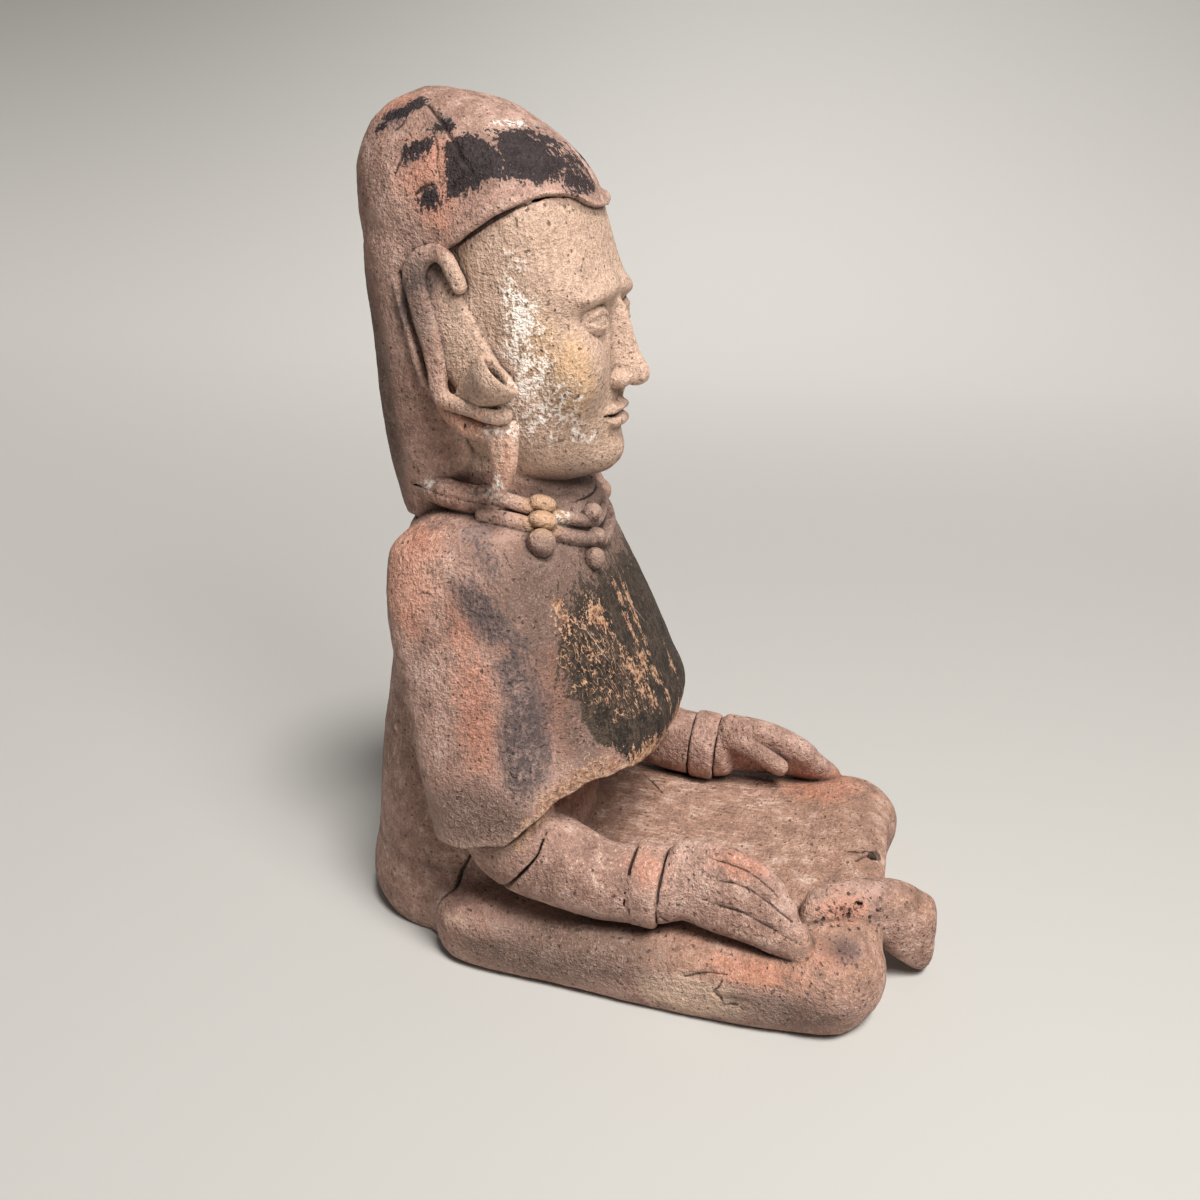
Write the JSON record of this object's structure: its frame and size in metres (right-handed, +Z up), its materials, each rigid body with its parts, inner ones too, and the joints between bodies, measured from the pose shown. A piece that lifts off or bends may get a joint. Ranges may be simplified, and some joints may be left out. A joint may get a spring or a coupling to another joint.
{
  "type": "seated clay figure",
  "caption": "Cross-legged clay figure in a tall cap, ear ornaments, bead necklace and shoulder cape, hands on the knees, standing on its flat underside.",
  "frame": {"origin": "centre of the bounding box, on the underside", "axes": "+Z up, the figure faces -Y, its right hand is on the -X side"},
  "size_m": [0.288, 0.445, 0.6],
  "materials": {
    "fired_clay": "matt, worn and stained"
  },
  "bodies": {
    "root": {"seated_figure": "fired_clay"}
  },
  "joints": []
}
